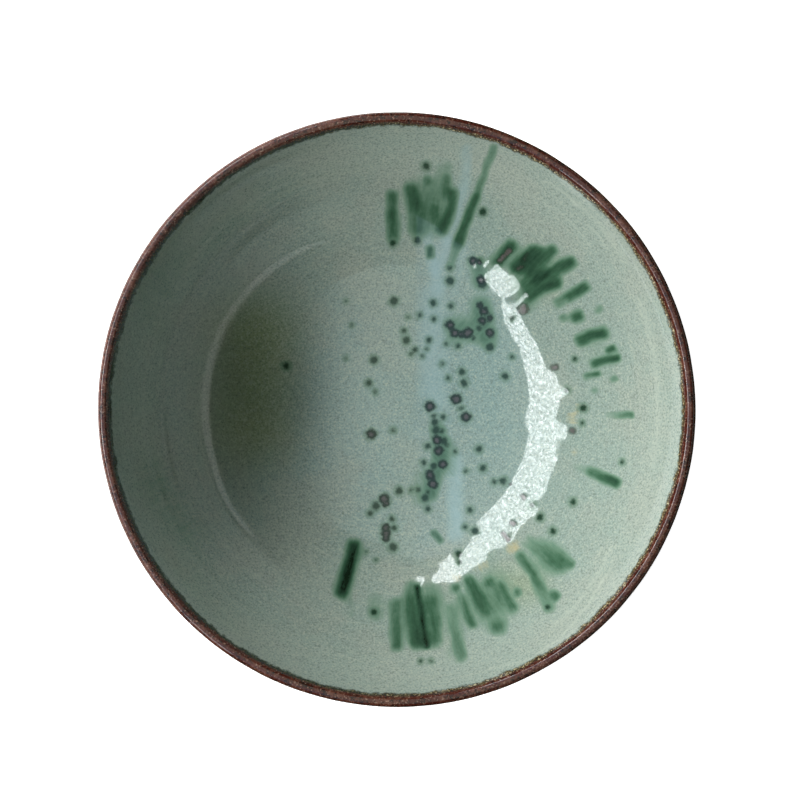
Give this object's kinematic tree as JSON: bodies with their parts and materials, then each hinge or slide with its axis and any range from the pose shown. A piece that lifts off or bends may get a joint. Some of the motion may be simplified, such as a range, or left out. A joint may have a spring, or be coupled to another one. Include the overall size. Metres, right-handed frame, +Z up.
{
  "type": "bowl",
  "caption": "Round stoneware bowl with a deep curved well, a thin rounded lip and a trimmed foot ring, in a speckled celadon glaze.",
  "frame": {"origin": "middle of the foot ring's underside, on the surface that the bowl stands on", "axes": "+Z up, along the axis that the bowl was thrown about; the top view has +X to the right and +Y away from the viewer"},
  "size_m": [0.21, 0.21, 0.0676],
  "materials": {
    "glaze": "glossy sage-green celadon glaze, iron-brown at the lip, with dark green and metallic brown runs and spots; the foot ring is bare stoneware"
  },
  "bodies": {
    "root": {"bowl": "glaze"}
  },
  "joints": []
}
